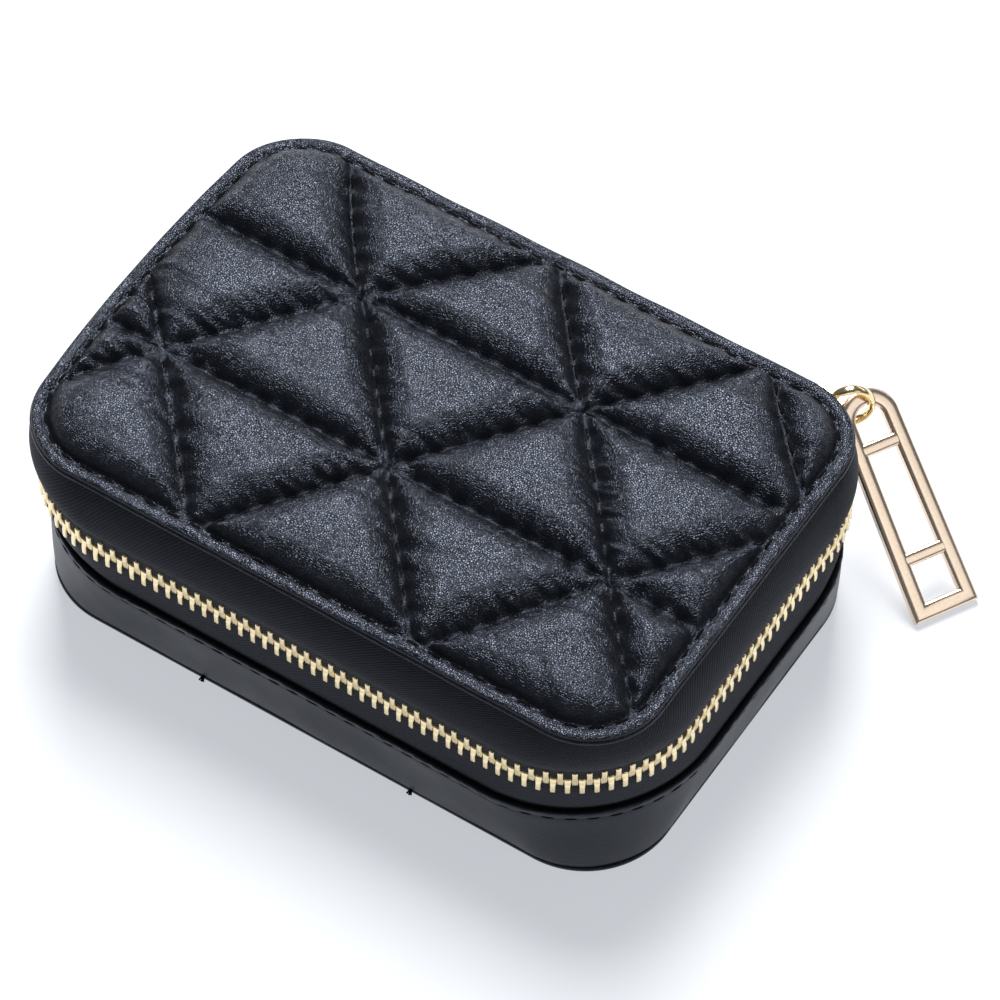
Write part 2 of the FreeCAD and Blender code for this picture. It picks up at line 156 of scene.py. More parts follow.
def link(mesh, name, body, material, replaces=()):
    piece = bpy.data.objects.new(name, mesh)
    bpy.context.scene.collection.objects.link(piece)
    mesh.materials.append(material)
    mesh.polygons.foreach_set("use_smooth", [True] * len(mesh.polygons))
    if body:
        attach(piece, body)
    if replaces:
        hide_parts(*replaces)
    return piece


def cleaned(mesh, weld=0.0, closed=False):
    """Merges points nearer than weld. closed also fills open ends, and turns every face outward."""
    shape = bmesh.new()
    shape.from_mesh(mesh)
    if weld:
        bmesh.ops.remove_doubles(shape, verts=shape.verts, dist=weld)
    if closed:
        bmesh.ops.holes_fill(shape, edges=[edge for edge in shape.edges if edge.is_boundary], sides=0)
        bmesh.ops.recalc_face_normals(shape, faces=shape.faces)
    shape.to_mesh(mesh)
    shape.free()
    return mesh


def tube_faces(rings, size, looped=False, base=0):
    """Faces of a tube through rings of points. A tube that isn't looped has its two ends closed."""
    faces = []
    for k in range(rings if looped else rings - 1):
        here = base + k * size
        there = base + (k + 1) % rings * size
        for m in range(size):
            n = (m + 1) % size
            faces.append((here + m, here + n, there + n, there + m))
    if not looped:
        faces.append(tuple(base + m for m in reversed(range(size))))
        faces.append(tuple(base + (rings - 1) * size + m for m in range(size)))
    return faces


def joined(name, runs):
    """One mesh from runs of (vertices, faces)."""
    vertices = []
    faces = []
    for more_vertices, more_faces in runs:
        base = len(vertices)
        vertices += more_vertices
        faces += [tuple(base + v for v in face) for face in more_faces]
    mesh = bpy.data.meshes.new(name)
    mesh.from_pydata(vertices, [], faces)
    mesh.update()
    return mesh


def squarish(count, power_x, power_y, phase=0.0):
    """Points round a circle of radius 1 with flattened sides: the lower the powers, the squarer."""
    points = []
    for k in range(count):
        angle = 2 * math.pi * (k + phase) / count
        x = math.cos(angle)
        y = math.sin(angle)
        points.append((math.copysign(abs(x) ** power_x, x), math.copysign(abs(y) ** power_y, y)))
    return points


def upright(path):
    """A direction straight up for each point of the path."""
    return np.tile([0.0, 0.0, 1.0], (len(path), 1))


def sheet_mesh(name, rows, closed=True, first=0, last=None, weave=None):
    """A grid of quads through rows of points. closed joins each row's end to its start.

    first and last pick a run of the row's points, which may pass the row's start. weave holds each
    vertex's place in the cloth (along, up, 0), kept as an attribute for the materials.
    """
    if closed:
        picked = np.arange(len(rows[0]))
    else:
        picked = np.arange(first, last) % len(rows[0])
    width = len(picked)
    vertices = np.concatenate([row[picked] for row in rows])
    index = np.arange(width if closed else width - 1)
    following = (index + 1) % width
    strip = np.stack([index, following, width + following, width + index], 1)
    faces = np.concatenate([strip + row * width for row in range(len(rows) - 1)])
    mesh = bpy.data.meshes.new(name)
    mesh.from_pydata(vertices.tolist(), [], faces.tolist())
    if weave is not None:
        places = np.concatenate([row[picked] for row in weave])
        attribute = mesh.attributes.new("weave", "FLOAT_VECTOR", "POINT")
        attribute.data.foreach_set("vector", places.astype(np.float32).ravel())
    mesh.update()
    return mesh


def bowed(points):
    """The points with the lid's left side let out a little: it bows between its corners."""
    moved = points.copy()
    side = smooth_step(20 * MM, LID[0], -points[:, 0])
    moved[:, 0] -= LEFT_BOW * side * np.clip(1 - (points[:, 1] / LID[1]) ** 2, 0, 1)
    return moved


def cloth_places(rows):
    """Where each point of the rows lies in its cloth: along the outline, and up the rows."""
    along = run_length(rows[len(rows) // 2][:, :2])
    steps = [np.linalg.norm(after - before, axis=1) for before, after in zip(rows, rows[1:])]
    heights = np.cumsum([np.zeros(COUNT), *steps], axis=0)
    return [np.column_stack([along, height, np.zeros(COUNT)]) for height in heights]


def waves(x, y, scale, seed, count=14):
    """Smooth noise of about unit height: a few sine waves in random directions."""
    chooser = np.random.default_rng(seed)
    total = np.zeros_like(np.asarray(x, float))
    for _ in range(count):
        angle = chooser.uniform(0, 2 * math.pi)
        pitch = scale * chooser.uniform(0.7, 1.6)
        phase = chooser.uniform(0, 2 * math.pi)
        total += np.sin(2 * math.pi * (x * math.cos(angle) + y * math.sin(angle)) / pitch + phase)
    return total / math.sqrt(count / 2) / 1.6


def smooth_step(low, high, value):
    share = np.clip((value - low) / (high - low), 0, 1)
    return share * share * (3 - 2 * share)


# -------- the quilting

QUILT_ROWS = MM * np.array((    # (y, x of one node, spacing of the nodes) of each row of the triangles
    (-38.7, -22.5, 42.1), (-11.5, -3.2, 41.6), (14.8, -25.6, 42.4), (38.6, -3.0, 40.2),
))
BAND_TALL = 26.6 * MM       # between two rows of the triangles, near enough
BAND_WIDE = 33.0 * MM       # from a triangle's slanting seam to its far corner, near enough
OUTER_BANDS = 27.0 * MM     # past this y the nearer row is an outermost one, with no seam along it
FAR = 30.0 * MM             # stands for the distance to a seam that isn't there
QUILT_STEP = 0.42 * MM      # between the cover's rings of points
GATHERS = (                 # (mm between gathers, mm over which they fade, mm height, slant, seed)
    (1.9, 2.2, 0.30, 0.15, 0), (4.4, 3.6, 0.34, 0.3, 5),
)
PUFF = PUFF_TOP - LIP_TOP + 0.3 * MM
DOME = 0.6 * MM             # extra height of each puff's middle
SLOPE = 5.6 * MM            # from a seam to where the puff levels off
BORDER = 2.7 * MM           # border stitches, in from the lid's edge
STITCH = 4.1 * MM           # from one stitch to the next
SEAM_Z = LIP_TOP - 0.5 * MM
LAST_BAND = 2               # in the back band of triangles,
NO_SEAM = -1                # this rising seam would cut off the lid's corner, and is left out
RISING = 1.246              # length along a rising seam for each unit of y
FALLING = 1.296


def lead(low, high):
    """From a node of the lower row, how far to the right the upper row's next node lies."""
    shift = high[..., 1] - low[..., 1]
    return shift - np.floor(shift / high[..., 2]) * high[..., 2]


def lattice(x, y):
    """(band, cell number, share across, share up) of each point in the rows of triangles."""
    band = np.clip(np.searchsorted(QUILT_ROWS[1:3, 0], y), 0, 2)
    low, high = QUILT_ROWS[band], QUILT_ROWS[band + 1]
    up = np.clip((y - low[..., 0]) / (high[..., 0] - low[..., 0]), 0, 1)
    spacing = low[..., 2] + (high[..., 2] - low[..., 2]) * up
    across = (x - low[..., 1] - lead(low, high) * up) / spacing
    cell = np.floor(across)
    return band, cell, across - cell, up


def edge_distance(x, y):
    """How far inside the lid's outline each point lies."""
    half_x, half_y, radius = LID
    past_x = np.abs(x) - (half_x - radius)
    past_y = np.abs(y) - (half_y - radius)
    outside = np.hypot(np.maximum(past_x, 0), np.maximum(past_y, 0))
    inside = np.minimum(np.maximum(past_x, past_y), 0)
    return radius - outside - inside


def seam_pull(distance, along, seed):
    """Pinched leather beside a seam: a pit at each stitch, and uneven gathers that fade away."""
    beat = np.cos(2 * math.pi * along / STITCH)
    pit = np.minimum(beat, 0.35) * np.exp(-(distance / (0.7 * MM)) ** 2) * 0.26 * MM
    scallop = beat * np.exp(-distance / (1.5 * MM)) * 0.13 * MM
    gathers = 0
    for pitch, fade, height, slant, more in GATHERS:
        wave = waves(along, distance * slant, pitch * MM, seed + more)
        gathers = gathers + wave * np.exp(-distance / (fade * MM)) * height * MM
    return pit + scallop + gathers * smooth_step(0.1 * MM, 1.2 * MM, distance)


def triangle(x, y):
    """Distances to the three seams of the triangle round each point, and the puff's own dome."""
    band, cell, f, up = lattice(x, y)
    upward = f < 1 - up
    row = np.where(upward, up, 1 - up)
    rising = np.where(upward, f, 1 - f)
    falling = np.where(upward, 1 - up - f, f + up - 1)
    dome = 27 * np.clip(row * rising * falling, 0, None)
    corner = (band == LAST_BAND) & (upward & (cell == NO_SEAM) | ~upward & (cell == NO_SEAM - 1))
    return row * BAND_TALL, np.where(corner, FAR, rising * BAND_WIDE), falling * BAND_WIDE, dome


def lid_height(x, y):
    """Height of the quilted leather at each point inside the lid's edge."""
    d_row, d_up, d_down, dome = triangle(x, y)
    edge = edge_distance(x, y)
    d_edge = edge - BORDER
    beside_outer_row = (np.abs(y) > OUTER_BANDS) & (d_row < 12 * MM)
    d_row = np.where(beside_outer_row, FAR, d_row)
    seams = (d_row, d_up, d_down, d_edge * 1.15)
    nearest = sum((np.maximum(d, 0.02 * MM) / MM) ** -5.0 for d in seams) ** -0.2 * MM
    rise = 1 - (1 - np.clip(nearest / SLOPE, 0, 1)) ** 2.3
    height = PUFF * rise + DOME * np.sqrt(dome) * np.clip(d_edge / (9 * MM), 0, 1)
    pulls = seam_pull(d_row, x, 11)
    pulls += seam_pull(d_up, y * RISING, 12)
    pulls += seam_pull(d_down, y * FALLING, 13)
    pulls += seam_pull(np.abs(d_edge), border_along(x, y), 14)
    calm = smooth_step(-0.4 * MM, 1.2 * MM, d_edge)
    height = height + (pulls + waves(x, y, 15 * MM, 21) * 0.10 * MM * rise) * calm
    # the flat turned edge, with a little bump where a quilting seam runs under it
    lip = (LIP_TOP - SEAM_Z) * (1 - smooth_step(-0.9 * MM, 0.0, d_edge))
    beat = np.cos(2 * math.pi * border_along(x, y) / STITCH)
    lip += (waves(x, y, 4 * MM, 22) * 0.07 + beat * 0.05) * MM * (1 - calm) * smooth_step(0, 1 * MM, edge)
    crossing = np.minimum(np.minimum(d_up, d_down), d_row)
    bump = 0.25 * MM * np.exp(-(crossing / (1.5 * MM)) ** 2) * (1 - calm)
    return SEAM_Z + height * calm + lip + bump


def border_along(x, y):
    """Distance along the lid's border, near enough to space its stitches and gathers."""
    angle = np.arctan2(y * LID[0] / LID[1], x)
    return angle * 58.0 * MM


def on_quilt(points):
    """The flat points, lifted on to the quilted leather."""
    return np.column_stack([points, lid_height(points[:, 0], points[:, 1])])


def seam_lines():
    """The quilting seams as (start, end, start of the stitches' count), before the border cuts them."""
    lines = []
    for y in QUILT_ROWS[1:3, 0]:
        lines.append((Vector((-LID[0], y)), Vector((LID[0], y)), -LID[0]))
    for band, (low, high) in enumerate(zip(QUILT_ROWS, QUILT_ROWS[1:])):
        for number in range(-3, 4):
            foot = Vector((low[1] + number * low[2], low[0]))
            head = Vector((low[1] + lead(low, high) + number * high[2], high[0]))
            foot_right = Vector((low[1] + (number + 1) * low[2], low[0]))
            if (band, number) != (LAST_BAND, NO_SEAM):
                lines.append((foot, head, low[0] * RISING))
            lines.append((foot_right, head, low[0] * FALLING))
    return lines


def unit(vectors):
    return vectors / np.linalg.norm(vectors, axis=1)[:, None]


def stitches(points, along, up, radius, pitch, length, rise, sink=0.55 * MM):
    """(vertices, faces) of short threads along a path, each one sunk into the leather at its ends.

    along holds the distance at each of the path's points. The threads are centred halfway between
    multiples of the pitch.
    """
    vertices = []
    faces = []
    angles = 2 * math.pi * np.arange(7) / 7
    wide = np.cos(angles)[:, None]
    tall = np.sin(angles)[:, None] * 0.8
    shares = np.linspace(0, 1, 9)
    first = math.ceil((along[0] + length / 2) / pitch - 0.5)
    last = math.floor((along[-1] - length / 2) / pitch - 0.5)
    for number in range(first, last + 1):
        centre_at = (number + 0.5) * pitch + 0.05 * pitch * (RANDOM.random() - 0.5)
        at = centre_at + (shares - 0.5) * length
        centre = np.stack([np.interp(at, along, points[:, k]) for k in range(3)], 1)
        above = unit(np.stack([np.interp(at, along, up[:, k]) for k in range(3)], 1))
        lift = rise - (rise + sink) * np.abs(2 * shares - 1) ** 4
        centre = centre + above * lift[:, None]
        forward = unit(np.gradient(centre, axis=0))
        side = unit(np.cross(forward, above))
        upward = np.cross(side, forward)
        thick = radius * (1 + 0.08 * np.sin(number * 1.9))
        thread = centre[:, None] + (side[:, None] * wide + upward[:, None] * tall) * thick
        faces += tube_faces(len(shares), len(angles), base=len(vertices))
        vertices += thread.reshape(-1, 3).tolist()
    return vertices, faces


def stitches_round(flat, path, up, spacing, radius, share, rise):
    """Stitches round a closed path, evenly spaced by the length of its flat outline."""
    flat, path, up = (np.concatenate([rows, rows[:1]]) for rows in (flat, path, up))
    along = np.concatenate([[0], np.cumsum(np.hypot(*np.diff(flat, axis=0).T))])
    pitch = along[-1] / round(along[-1] / spacing)
    return stitches(path, along, up, radius, pitch, pitch * share, rise)


def thread_piece(name, runs, body):
    return link(joined(name, runs), name, body, THREAD)


# -------- material helpers

class Surface:
    """A Principled material, with a short way to add each kind of node that the looks need."""

    def __init__(self, name):
        self.material = bpy.data.materials.new(name)
        self.material.use_nodes = True
        self.tree = self.material.node_tree

    def fill(self, node, sockets):
        """Gives each named socket its value, or links it to the output given for it."""
        for name, value in sockets.items():
            if isinstance(value, bpy.types.NodeSocket):
                self.tree.links.new(value, node.inputs[name])
            else:
                node.inputs[name].default_value = value

    def add(self, kind, sockets, **settings):
        node = self.tree.nodes.new("ShaderNode" + kind)
        for name, value in settings.items():
            setattr(node, name, value)
        self.fill(node, sockets)
        return node

    def place(self):
        return self.add("TexCoord", {}).outputs["Object"]

    def attribute(self, name, output):
        return self.add("Attribute", {}, attribute_name=name).outputs[output]

    def noise(self, place, scale, detail, output="Fac", **more):
        sockets = {"Vector": place, "Scale": scale, "Detail": detail, **more}
        return self.add("TexNoise", sockets).outputs[output]

    def bands(self, direction, sockets):
        return self.add("TexWave", sockets, wave_type="BANDS", bands_direction=direction).outputs["Fac"]

    def worked(self, operation, *values):
        return self.add("Math", dict(enumerate(values)), operation=operation).outputs[0]

    def ramp(self, source, low, high, start=0.0, end=1.0):
        """The source's span from start to end, spread over low to high."""
        sockets = {"Value": source, "From Min": start, "From Max": end, "To Min": low, "To Max": high}
        return self.add("MapRange", sockets).outputs["Result"]

    def tone(self, factor, dark, light):
        sockets = {"Factor": factor, "A": (*dark, 1), "B": (*light, 1)}
        return self.add("Mix", sockets, data_type="RGBA").outputs["Result"]

    def bump(self, height, strength, distance):
        sockets = {"Height": height, "Strength": strength, "Distance": distance}
        return self.add("Bump", sockets).outputs["Normal"]

    def finished(self, sockets):
        self.fill(self.tree.nodes["Principled BSDF"], sockets)
        return self.material


SKIN_TINT = (0.72, 0.80, 1.0, 1)      # the finish on black leather and tape reflects a little blue
BAND_SPACING = 0.314                  # between a wave texture's bands at scale 1


def leather(name, dark, light, rough_low, rough_high, grain, grain_depth, fine_share, strength):
    """Grained leather: a net of fine creases, pores, soft changes of tone and of polish.

    It is dull where the mesh's own attribute "crease" is 1, as at the bottom of a seam.
    """
    surface = Surface(name)
    place = surface.place()
    warp = surface.noise(place, 0.6 / grain, 2.0, "Color")
    shift = {0: warp, 1: (grain * 0.9,) * 3, 2: place}
    warped = surface.add("VectorMath", shift, operation="MULTIPLY_ADD").outputs[0]
    cells = surface.add("TexVoronoi", {"Vector": warped, "Scale": 1 / grain}, feature="DISTANCE_TO_EDGE")
    pebble = surface.ramp(cells.outputs["Distance"], 0.0, 1.0, 0.0, 0.22)
    pores = surface.noise(place, 2.2 / grain, 4.0, Roughness=0.6)
    broad = surface.noise(place, 70.0, 3.0)
    height = surface.worked("MULTIPLY_ADD", pores, fine_share, pebble)
    polish = surface.ramp(broad, rough_low, rough_high, 0.35, 0.65)
    dulled = surface.add("Mix", {"Factor": surface.attribute("crease", "Fac"), "A": polish, "B": 0.5})
    return surface.finished({
        "Base Color": surface.tone(broad, dark, light), "Normal": surface.bump(height, strength, grain_depth),
        "Roughness": dulled.outputs["Result"], "Specular IOR Level": 0.5, "Specular Tint": SKIN_TINT,
    })


def woven(name, dark, light, pitch, slant, depth):
    """Twill tape: diagonal ribs of yarn that follow the cloth along its run."""
    surface = Surface(name)
    place = surface.attribute("weave", "Vector")
    turned = surface.add("Mapping", {"Vector": place, "Rotation": (0, 0, slant)}).outputs[0]
    ribs = surface.bands("X", {
        "Vector": turned, "Scale": BAND_SPACING / pitch, "Distortion": 0.6, "Detail": 1.0,
        "Detail Scale": 2.0,
    })
    picks = surface.bands("Y", {"Vector": place, "Scale": BAND_SPACING / (pitch * 0.8), "Distortion": 0.8})
    both = surface.worked("MULTIPLY", ribs, surface.ramp(picks, 0.5, 1.0))
    yarn = surface.noise(place, 1.6 / pitch, 3.0, Roughness=0.7)
    uneven = surface.worked("MULTIPLY", both, surface.ramp(yarn, 0.1, 1.9, 0.3, 0.7))
    return surface.finished({
        "Base Color": surface.tone(uneven, dark, light), "Normal": surface.bump(uneven, 0.8, depth),
        "Roughness": 0.75, "Sheen Weight": 0.04, "Sheen Roughness": 0.4, "Specular Tint": SKIN_TINT,
    })


def plated(name, colour, worn, rough_low, rough_high, depth=0.004 * MM):
    """Plated metal: a tone that drifts, with fine handling marks in the polish."""
    surface = Surface(name)
    place = surface.place()
    marks = surface.noise(place, 2640.0, 3.0)
    return surface.finished({
        "Base Color": surface.tone(surface.noise(place, 220.0, 4.0), colour, worn),
        "Roughness": surface.ramp(marks, rough_low, rough_high, 0.3, 0.7),
        "Normal": surface.bump(marks, 0.25, depth), "Metallic": 1.0,
    })


def velvet(name, dark, light):
    """Short-pile velvet, with the pile brushed this way and that."""
    surface = Surface(name)
    place = surface.place()
    brushed = surface.noise(place, 90.0, 3.0, Distortion=0.6)
    pile = surface.noise(place, 5200.0, 2.0)
    return surface.finished({
        "Base Color": surface.tone(brushed, dark, light), "Normal": surface.bump(pile, 0.6, 0.1 * MM),
        "Roughness": 0.9, "Sheen Weight": 0.6, "Sheen Roughness": 0.35,
    })


def thread_material(name, dark, light):
    surface = Surface(name)
    twist = surface.bands("DIAGONAL", {"Vector": surface.place(), "Scale": 1400.0, "Distortion": 1.0})
    return surface.finished({
        "Base Color": surface.tone(twist, dark, light), "Normal": surface.bump(twist, 0.5, 0.06 * MM),
        "Roughness": 0.8, "Specular IOR Level": 0.08,
    })


QUILT_LEATHER = leather("quilt_leather", (0.0016, 0.0018, 0.0028), (0.0028, 0.0032, 0.0046), 0.26, 0.33,
                        0.36 * MM, 0.085 * MM, 0.45, 0.66)
SMOOTH_LEATHER = leather("smooth_leather", (0.0030, 0.0033, 0.0048), (0.0052, 0.0057, 0.0078), 0.40, 0.50,
                         0.7 * MM, 0.03 * MM, 0.35, 0.55)
TAPE = woven("zip_tape", (0.0018, 0.0019, 0.0028), (0.0105, 0.0110, 0.0145), 0.46 * MM, 0.9, 0.13 * MM)
BRASS = plated("tooth_brass", (0.93, 0.80, 0.52), (0.86, 0.70, 0.42), 0.16, 0.30)
GOLD = plated("polished_gold", (0.95, 0.78, 0.48), (0.88, 0.68, 0.36), 0.10, 0.22)
SATIN = plated("satin_gold", (0.86, 0.69, 0.54), (0.81, 0.64, 0.49), 0.23, 0.26, 0.0005 * MM)
VELVET = velvet("lining_velvet", (0.022, 0.022, 0.025), (0.055, 0.055, 0.060))
TRIM = velvet("pocket_binding", (0.010, 0.010, 0.012), (0.022, 0.022, 0.025))
THREAD = thread_material("black_thread", (0.0010, 0.0010, 0.0014), (0.0030, 0.0030, 0.0038))


# -------- lid

def lid_cover():
    """The quilted leather, in one skin with the turned edge that wraps the lid's rim."""
    bead = (                # mm: (in from the edge, up from the lid's underside)
        (6.0, 0.02), (1.6, 0.0), (0.9, -0.02), (0.4, 0.0), (0.10, 0.12), (0.0, 0.34), (0.05, 0.55),
        (0.24, 0.70), (0.46, 0.76), (0.42, 0.88), (0.30, 1.02),
    )
    shoulder = ((0.30, -0.34), (0.40, -0.15), (0.60, -0.03))        # mm: (in, up from the lip's top)
    profile = [(inset * MM, LID_LOW + z * MM) for inset, z in bead]
    profile += [(inset * MM, LIP_TOP + z * MM) for inset, z in shoulder]
    rows = []
    for inset, z in profile:
        points, normals = ring(grown(LID, -inset))
        wobble = 0.05 * MM * waves(points[:, 0], points[:, 1], 14 * MM, 31)
        rows.append(np.column_stack([points + normals * wobble[:, None], np.full(COUNT, z) + wobble * 0.6]))
    inset = 0.85 * MM
    while inset < LID[1]:
        rows.append(on_quilt(ring(shrunk(LID, inset))[0]))
        inset += QUILT_STEP if inset > 4 * MM else QUILT_STEP * 0.6
    rows.append(on_quilt(ring(shrunk(LID, LID[1]))[0]))
    mesh = cleaned(sheet_mesh("quilted_cover", [bowed(row) for row in rows]), WELD)
    x, y, z = np.array([vertex.co for vertex in mesh.vertices]).T
    d_row, d_up, d_down, _ = triangle(x, y)
    d_row = np.where(np.abs(y) > OUTER_BANDS, FAR, d_row)
    seam = np.minimum(np.minimum(d_row, d_up), d_down)
    inside = edge_distance(x, y) > BORDER
    crease = np.exp(-(seam / (0.5 * MM)) ** 2) * inside * (z > LIP_TOP - 0.8 * MM)
    attribute = mesh.attributes.new("crease", "FLOAT", "POINT")
    attribute.data.foreach_set("value", crease.astype(np.float32))
    nodes = ("lid_quilted_cover", "lid_edge_welt", "lid_foam_pad", "lid_board")
    cover = link(mesh, "quilted_cover", "lid", QUILT_LEATHER, nodes)


THREAD_ENDS = (-20.9 * MM, 19.4 * MM)     # stray ends of thread along the front of the foot


def thread_ends():
    """Two little tufts of thread left at the foot of the front."""
    length = 1.1 * MM
    shares = np.linspace(0, 1, 12)
    runs = []
    for x in THREAD_ENDS:
        for lean in (-0.35, 0.1, 0.5):
            start = Vector((x, -FOOT[1] + 0.25 * MM, 0.9 * MM))
            way = Vector((lean, -1.0, -0.35)).normalized()
            points = np.array([start + way * share * length for share in shares])
            points[:, 2] -= shares ** 2 * 0.15 * MM
            runs.append(stitches(points, shares * length, upright(points), 0.16 * MM, length, 1.0 * MM,
                                 0.02 * MM, 0.1 * MM))
    thread_piece("thread_ends", runs, "tray")


def lid_stitches():
    runs = []
    for start, end, count_from in seam_lines():
        length = (end - start).length
        steps = np.linspace(0, 1, int(length / (0.3 * MM)))
        flat = np.array(start) + (np.array(end) - np.array(start)) * steps[:, None]
        kept = edge_distance(*flat.T) > BORDER + 0.3 * MM
        if kept.sum() < 12:
            continue
        points = bowed(on_quilt(flat[kept]))
        along = (count_from + length * steps)[kept]
        runs.append(stitches(points, along, upright(points), 0.36 * MM, STITCH, STITCH * 0.74, 0.04 * MM))
    flat, _ = ring(grown(LID, -BORDER))
    path = bowed(on_quilt(flat))
    runs.append(stitches_round(flat, path, upright(path), STITCH, 0.30 * MM, 0.70, 0.02 * MM))
    thread_piece("lid_stitches", runs, "lid")


# -------- tapes, fold and band

def sag(x, y):
    """How far the zip sits in from its outline: it pulls in along the right side and the front."""
    right = smooth_step(20 * MM, 52 * MM, x) * (1 - smooth_step(14 * MM, 36 * MM, y))
    front = smooth_step(20 * MM, 38 * MM, -y) * smooth_step(-55 * MM, -5 * MM, x)
    return np.maximum(right, 0.8 * front) * 1.0 * MM


def sagging(rows, shares):
    """The rows drawn in with the zip, each by its own share."""
    _, normals = ring(CHAIN)
    drawn = []
    for row, share in zip(rows, shares):
        moved = row.copy()
        moved[:, :2] -= normals * (sag(row[:, 0], row[:, 1]) * share)[:, None]
        drawn.append(moved)
    return drawn


BACK_FIRST = ARC + 9                        # the tapes end, and the fold begins, behind the corner
BACK_LAST = ARC + LONG - 9
OUTER_RUN = (BACK_LAST, COUNT + BACK_FIRST + 1)     # from the back left round the front to the back right
FOLD_RUN = (BACK_FIRST - 6, BACK_LAST + 7)
TAPE_THICK = 0.5 * MM
STAYING = 50                                # degrees round the back right corner: from here to the
STAYING_POINT = COUNT + round(ARC * STAYING / 90)   # fold, the upper tape and teeth stay with the slider


def smooth_rows(sections, steps):
    """Rows through (outline, z) sections, on a curve that bends softly at each one."""
    table = np.array([(*outline, z) for outline, z in sections])
    ends = np.concatenate([2 * table[:1] - table[1:2], table, 2 * table[-1:] - table[-2:-1]])
    rows = []
    for k in range(len(sections) - 1):
        a, b, c, d = ends[k:k + 4]
        bend = 2 * a - 5 * b + 4 * c - d
        twist = 3 * (b - c) + d - a
        for share in np.arange(steps) / steps:
            at = b + share / 2 * (c - a + share * (bend + share * twist))
            rows.append(level(tuple(at[:3]), at[3]))
    rows.append(level(*sections[-1]))
    return rows


def thickened(piece, thickness):
    modifier = piece.modifiers.new("thickness", "SOLIDIFY")
    modifier.thickness = thickness
    modifier.offset = -1.0
    return piece


def tapes():
    """The upper tape, its end that stays by the slider, and the lower tape."""
    chain_face = grown(CHAIN, 0.48 * MM)
    cord = 0.95 * MM        # the tapes' beaded edges, from the middle of the chain
    lip_face = grown(LID, -1.1 * MM)
    foot_z = TAPE_HIGH + 1.2 * MM
    upper = [(chain_face, CHAIN_Z + cord), (chain_face, foot_z)]
    for share in (0.2, 0.4, 0.6, 0.8, 1.0):
        bulge = 1.3 * MM * math.sin(math.pi * share ** 0.85)
        z = foot_z + (LID_LOW + 0.1 * MM - foot_z) * share
        upper.append((grown(between(chain_face, lip_face, share), bulge), z))
    rows = smooth_rows(upper, 6)
    tallest = rows[-1][0][2] - rows[0][0][2]
    shares = [(row[0][2] - rows[0][0][2]) / tallest for row in rows]
    rows = sagging(rows, [1 - share for share in shares])
    rows = [row + (bowed(row) - row) * share for row, share in zip(rows, shares)]
    weave = cloth_places(rows)
    mesh = sheet_mesh("upper_tape", rows, False, OUTER_RUN[0], STAYING_POINT + 1, weave=weave)
    thickened(link(mesh, "upper_tape", "lid", TAPE, ("zip_tape_upper",)), TAPE_THICK)
    mesh = sheet_mesh("upper_tape_end", rows, False, STAYING_POINT, OUTER_RUN[1], weave=weave)
    end = link(mesh, "upper_tape_end", "tray", TAPE, ("zip_tape_upper_corner",))
    with_modifiers(thickened(end, TAPE_THICK))
    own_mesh(end)
    behind = grown(RIM, -1.78 * MM)
    low_z = BAND_TOP + 0.5 * MM
    lower = [
        (grown(between(FOOT, RIM, 0.72), -2.0 * MM), BAND_TOP - 4.5 * MM), (behind, BAND_TOP - 0.8 * MM),
        (grown(behind, 0.2 * MM), low_z),
        (grown(between(behind, chain_face, 0.5), 0.15 * MM), BAND_TOP + 2.6 * MM),
        (chain_face, TAPE_LOW - 1.4 * MM), (chain_face, CHAIN_Z - cord),
    ]
    rows = smooth_rows(lower, 6)
    rows = sagging(rows, [float(smooth_step(low_z, TAPE_LOW, row[0][2])) for row in rows])
    mesh = sheet_mesh("lower_tape", rows, False, *OUTER_RUN, weave=cloth_places(rows))
    thickened(link(mesh, "lower_tape", "tray", TAPE, ("zip_tape_lower",)), TAPE_THICK)


def fold():
    """The leather fold at the back, one piece from the tray's band to the lid."""
    out = grown(CHAIN, 0.75 * MM)
    lid_face = grown(LID, -0.7 * MM)
    bend = 2.5 * MM         # the fold bends from this far below its middle to this far above it
    sections = [
        (grown(RIM, -0.9 * MM), BAND_TOP - 3.0 * MM), (grown(RIM, -0.8 * MM), BAND_TOP - 0.2 * MM),
        (between(grown(RIM, -0.6 * MM), out, 0.6), BAND_TOP + 3.0 * MM),
        (out, FOLD.z - bend), (grown(out, 0.15 * MM), FOLD.z), (out, FOLD.z + bend),
        (between(out, lid_face, 0.5), FOLD.z + 6.5 * MM), (lid_face, LID_LOW + 0.05 * MM),
    ]
    rows = smooth_rows(sections, 8)
    half_x = abs(rows[0][FOLD_RUN[0], 0])
    for row in rows:
        near_end = smooth_step(half_x - 1.6 * MM, half_x, np.abs(row[:, 0])) * (row[:, 1] > 0)
        ripple = waves(row[:, 0], row[:, 2] * 2, 16 * MM, 51) * 0.10 * MM
        row[:, 1] += ripple - 0.35 * MM * near_end
    mesh = sheet_mesh("back_fold", rows, False, *FOLD_RUN)
    piece = link(mesh, "back_fold", None, SMOOTH_LEATHER)
    with_modifiers(thickened(piece, 0.9 * MM))
    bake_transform(piece)
    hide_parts("spine_lower", "spine_upper")


def with_modifiers(piece):
    """Applies the piece's modifiers to its mesh."""
    depsgraph = bpy.context.evaluated_depsgraph_get()
    mesh = bpy.data.meshes.new_from_object(piece.evaluated_get(depsgraph))
    piece.modifiers.clear()
    piece.data = mesh


def tray_outline(z):
    return between(FOOT, grown(RIM, -0.6 * MM), z / BAND_TOP)


